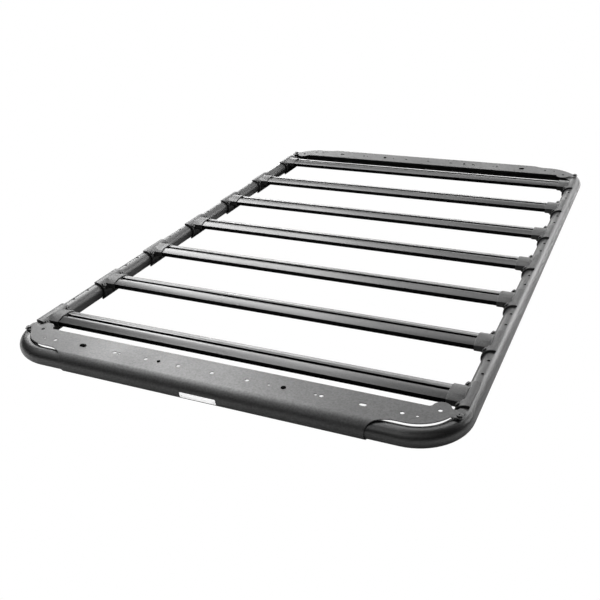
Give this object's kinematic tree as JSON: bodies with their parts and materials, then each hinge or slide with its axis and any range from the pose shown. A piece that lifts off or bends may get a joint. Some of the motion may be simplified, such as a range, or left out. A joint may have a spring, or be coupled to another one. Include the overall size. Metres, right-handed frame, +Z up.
{
  "type": "flat platform roof rack",
  "caption": "Flat platform roof rack: bent tube rim with rounded corners, slotted crossbars in cast end brackets and wrapped sheet fairings with holes at both ends.",
  "frame": {"origin": "under the centre of the rack, on the surface that it lies on", "axes": "+X to the rack's right across the vehicle, +Y to the rear along it, the label's end at -Y, +Z up"},
  "size_m": [1.016, 1.5746, 0.0479],
  "materials": {
    "rim_tube": "satin black powder coat",
    "inner_splice": "plain drawn tube",
    "crossbar": "satin black anodised extrusion",
    "cast_bracket": "fine-textured black powder coat on a casting",
    "fairing_sheet": "fine-textured black powder coat on sheet",
    "screw": "black oxide",
    "hole_plug": "moulded black plastic",
    "spacer": "black rubber"
  },
  "bodies": {
    "root": {"left_rail": "rim_tube", "right_rail": "rim_tube", "front_splice": "inner_splice", "rear_splice": "inner_splice", "crossbar_1": "crossbar", "crossbar_2": "crossbar", "crossbar_3": "crossbar", "crossbar_4": "crossbar", "crossbar_5": "crossbar", "crossbar_6": "crossbar", "crossbar_7": "crossbar", "left_bracket_1": "cast_bracket", "left_bracket_2": "cast_bracket", "left_bracket_3": "cast_bracket", "left_bracket_4": "cast_bracket", "left_bracket_5": "cast_bracket", "left_bracket_6": "cast_bracket", "left_bracket_7": "cast_bracket", "right_bracket_1": "cast_bracket", "right_bracket_2": "cast_bracket", "right_bracket_3": "cast_bracket", "right_bracket_4": "cast_bracket", "right_bracket_5": "cast_bracket", "right_bracket_6": "cast_bracket", "right_bracket_7": "cast_bracket", "left_bracket_screws": "screw", "right_bracket_screws": "screw", "front_fairing": "fairing_sheet", "rear_fairing": "fairing_sheet", "front_fairing_screws": "screw", "rear_fairing_screws": "screw", "front_fairing_spacers": "spacer", "rear_fairing_spacers": "spacer", "front_hole_plugs": "hole_plug", "rear_hole_plugs": "hole_plug"}
  },
  "joints": []
}
